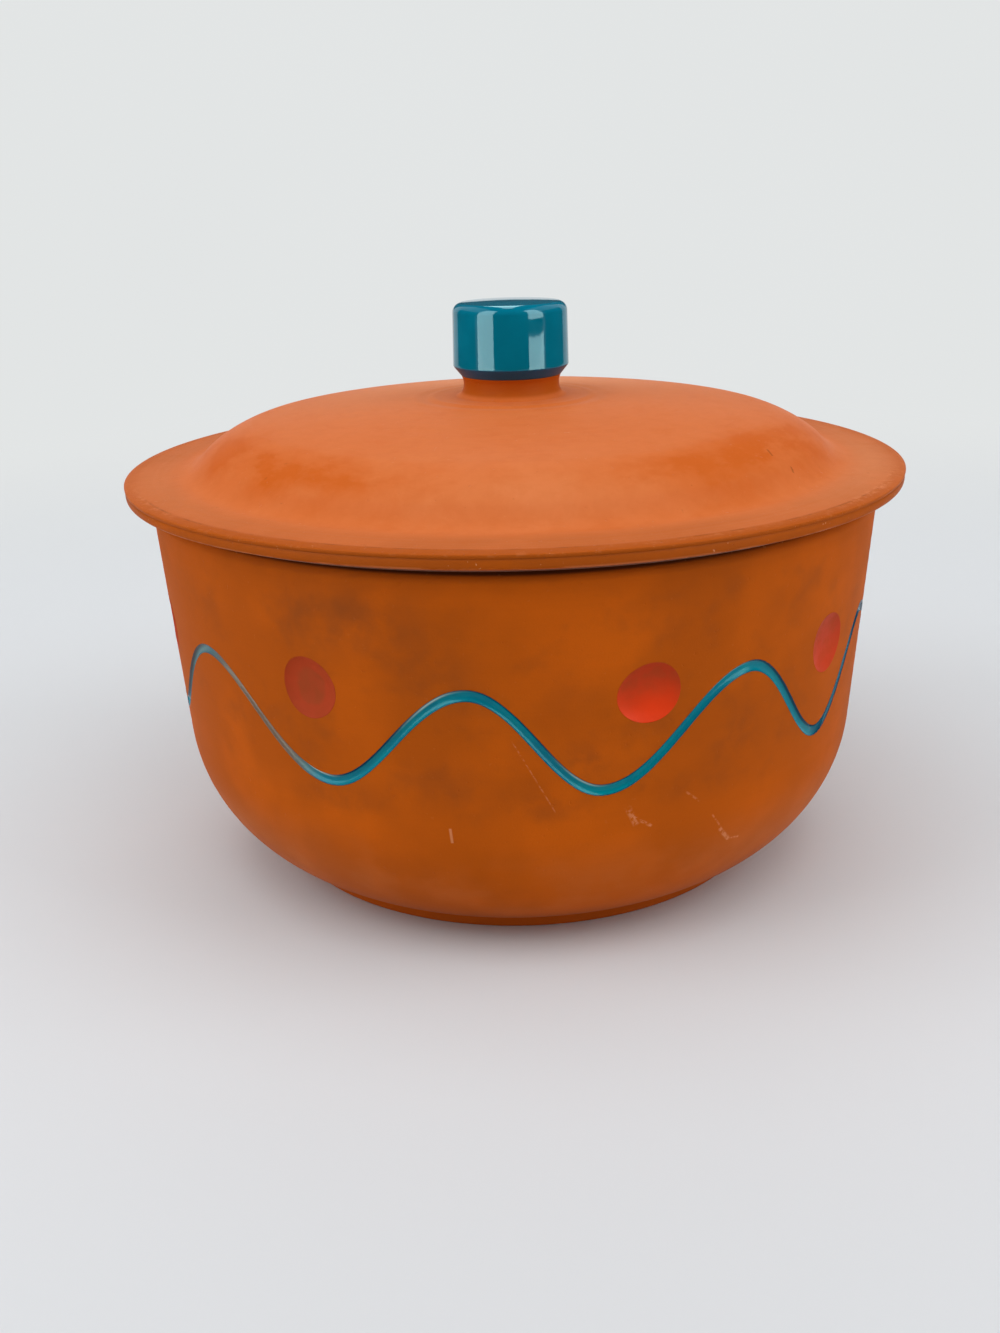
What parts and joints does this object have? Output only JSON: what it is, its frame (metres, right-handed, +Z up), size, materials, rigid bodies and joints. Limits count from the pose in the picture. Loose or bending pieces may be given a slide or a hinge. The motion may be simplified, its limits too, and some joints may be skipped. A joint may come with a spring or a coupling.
{
  "type": "lidded casserole dish",
  "caption": "Round lidded casserole dish in red clay, with a wide brimmed lid, a glazed knob, a carved wave line and pressed dots.",
  "frame": {"origin": "middle of the flat foot, on the surface that the dish stands on", "axes": "+Z up along the turning axis, -Y towards the front, +X to the right of the front"},
  "size_m": [0.26, 0.26, 0.1865],
  "materials": {
    "pot_clay": "matt fired red clay",
    "lid_clay": "matt fired red clay, paler",
    "teal_glaze": "gloss teal glaze",
    "red_glaze": "satin red glaze",
    "clear_glaze": "gloss clear glaze over red clay"
  },
  "bodies": {
    "pot": {"pot_body": "pot_clay", "pot_lining_glaze": "clear_glaze", "wave_glaze": "teal_glaze", "dot_glaze_1": "red_glaze", "dot_glaze_2": "red_glaze", "dot_glaze_3": "red_glaze", "dot_glaze_4": "red_glaze", "dot_glaze_5": "red_glaze", "dot_glaze_6": "red_glaze", "dot_glaze_7": "red_glaze", "dot_glaze_8": "red_glaze", "dot_glaze_9": "red_glaze"},
    "lid": {"lid_body": "lid_clay", "lid_lining_glaze": "clear_glaze", "lid_knob": "lid_clay", "knob_glaze": "teal_glaze"}
  },
  "joints": [
    {"name": "lid_lift", "type": "slide", "parent": "pot", "child": "lid", "axis": [0, 0, 1], "range_m": [0, 0.16]}
  ]
}
